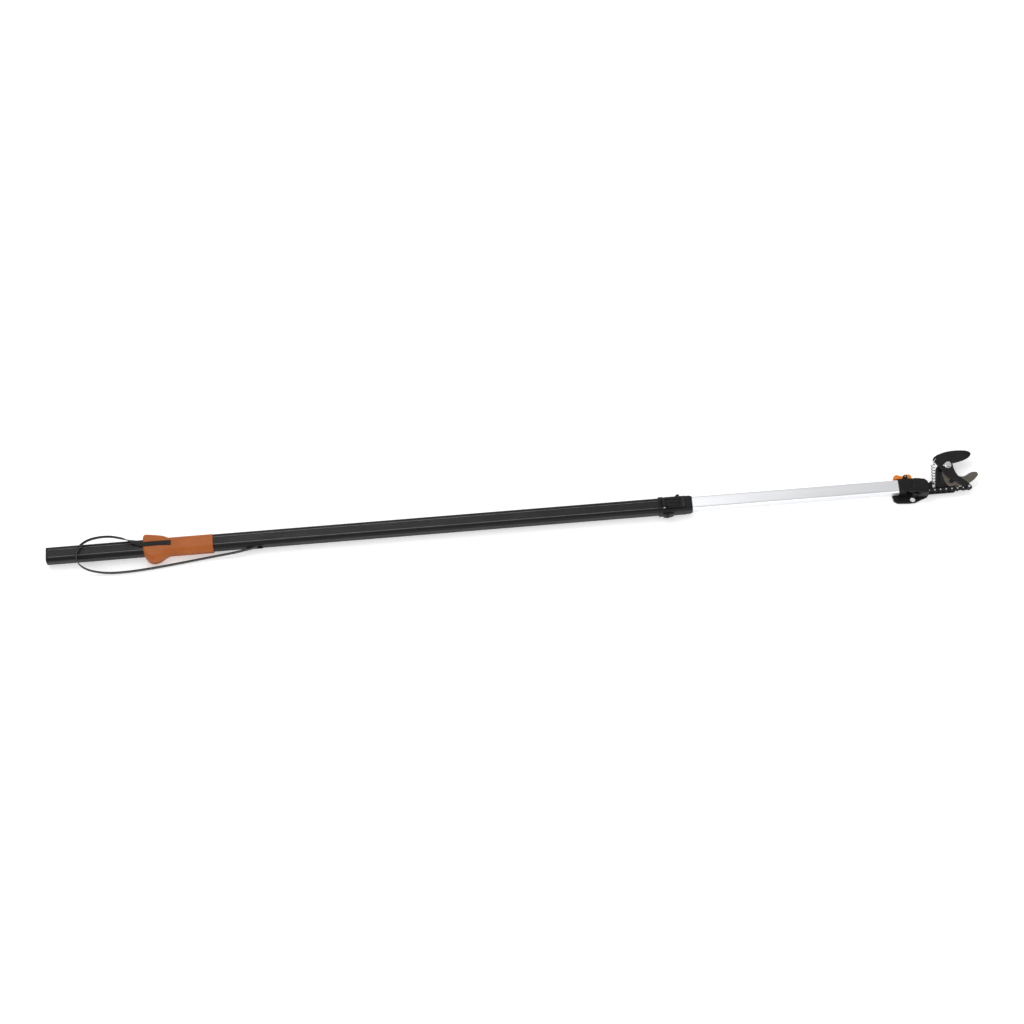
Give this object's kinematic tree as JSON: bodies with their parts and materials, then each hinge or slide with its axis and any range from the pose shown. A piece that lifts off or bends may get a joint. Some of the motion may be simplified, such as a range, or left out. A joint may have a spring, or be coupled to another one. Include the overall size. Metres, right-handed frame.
{
  "type": "telescoping pole pruner",
  "caption": "Telescoping pole pruner with hooked cutting head, swivel, flip-lever clamp, pull grip and webbing strap",
  "frame": {"origin": "centre of the lower end face of the pole", "axes": "+X along the pole to the cutting head, +Y in the plane of the jaw away from the chain, +Z square to the jaw, up as it lies"},
  "size_m": [2.3146, 0.1407, 0.0478],
  "materials": {
    "black_tube": "semi-matte black powder coat on aluminium",
    "black_nylon": "fine-textured moulded black nylon",
    "webbing": "flat woven black polyester webbing",
    "orange_nylon": "satin moulded orange nylon",
    "orange_button": "smooth bright orange plastic",
    "silver_tube": "satin anodised aluminium",
    "bright_steel": "zinc-plated steel",
    "dark_steel": "black coated steel",
    "counter_steel": "grey-brown phosphated steel with ground edge",
    "coated_blade": "black low-friction coating on steel with ground bevels",
    "spring_steel": "drawn zinc-plated spring wire",
    "chain_steel": "blackened chain steel",
    "grey_rubber": "moulded rubber",
    "bronze_bush": "sintered bronze"
  },
  "bodies": {
    "outer_pole": {"outer_tube": "black_tube", "pole_end_plug": "black_nylon", "strap_guide": "black_nylon", "collar_body": "black_nylon", "collar_ring": "black_nylon", "collar_screws": "dark_steel", "clamp_pad": "grey_rubber", "lever_pin": "bright_steel", "pull_strap": "webbing"},
    "lock_lever": {"lock_lever": "black_nylon"},
    "grip": {"grip_sleeve": "orange_nylon", "strap_end": "webbing", "strap_clamp": "black_nylon", "clamp_screws": "dark_steel"},
    "inner_pole": {"inner_tube": "silver_tube", "inner_foot": "black_nylon", "inner_strap": "webbing", "head_adapter": "black_nylon", "adapter_screws": "bright_steel", "latch_pin": "bright_steel", "latch_spring": "bright_steel"},
    "tilt_button": {"tilt_button": "orange_button"},
    "head": {"casing_front": "black_nylon", "casing_back": "black_nylon", "casing_screws": "dark_steel", "index_disc": "dark_steel", "disc_screw": "bright_steel", "head_frame": "dark_steel", "spring_anchor": "bright_steel", "counter_blade": "counter_steel", "counter_bolt": "dark_steel", "counter_nut": "bright_steel", "pivot_bolt": "bright_steel", "pivot_washer": "bright_steel", "pivot_nut": "bright_steel", "return_spring": "spring_steel"},
    "blade": {"cutting_blade": "coated_blade", "blade_bush": "bronze_bush", "tail_pin": "bright_steel"},
    "chain": {"chain_outer_plates": "chain_steel", "chain_inner_plates": "chain_steel", "chain_rollers": "bright_steel", "chain_rivets": "bright_steel", "strap_yoke": "chain_steel"}
  },
  "joints": [
    {"name": "telescope", "type": "slide", "parent": "outer_pole", "child": "inner_pole", "axis": [1, 0, 0], "range_m": [0, 0.75], "deforming": ["inner_strap"]},
    {"name": "lever_hinge", "type": "hinge", "parent": "outer_pole", "child": "lock_lever", "pos_m": [1.529, 0, 0.0226], "axis": [0, -1, 0], "range_deg": [0, 100]},
    {"name": "grip_slide", "type": "slide", "parent": "outer_pole", "child": "grip", "axis": [-1, 0, 0], "range_m": [0, 0.2], "deforming": ["pull_strap"]},
    {"name": "latch_hinge", "type": "hinge", "parent": "inner_pole", "child": "tilt_button", "pos_m": [2.132, 0.024, 0], "axis": [0, 0, 1], "range_deg": [0, 5], "stiffness_Nm_per_rad": 0.5, "deforming": ["latch_spring"]},
    {"name": "head_swivel", "type": "hinge", "parent": "inner_pole", "child": "head", "pos_m": [2.163, 0, 0], "axis": [0, 0, 1], "range_deg": [-30, 70]},
    {"name": "blade_swing", "type": "hinge", "parent": "head", "child": "blade", "pos_m": [2.243, 0.047, 0.0066], "axis": [0, 0, -1], "range_deg": [0, 40], "deforming": ["return_spring"]},
    {"name": "chain_hinge", "type": "hinge", "parent": "blade", "child": "chain", "pos_m": [2.287, -0.0148, 0], "axis": [0, 0, 1], "range_deg": [0, 23.5]}
  ],
  "couplings": [
    {"joint": "blade_swing", "follows": "grip_slide", "rad_per_m": 3.4906},
    {"joint": "chain_hinge", "follows": "grip_slide", "rad_per_m": 2.0507}
  ]
}
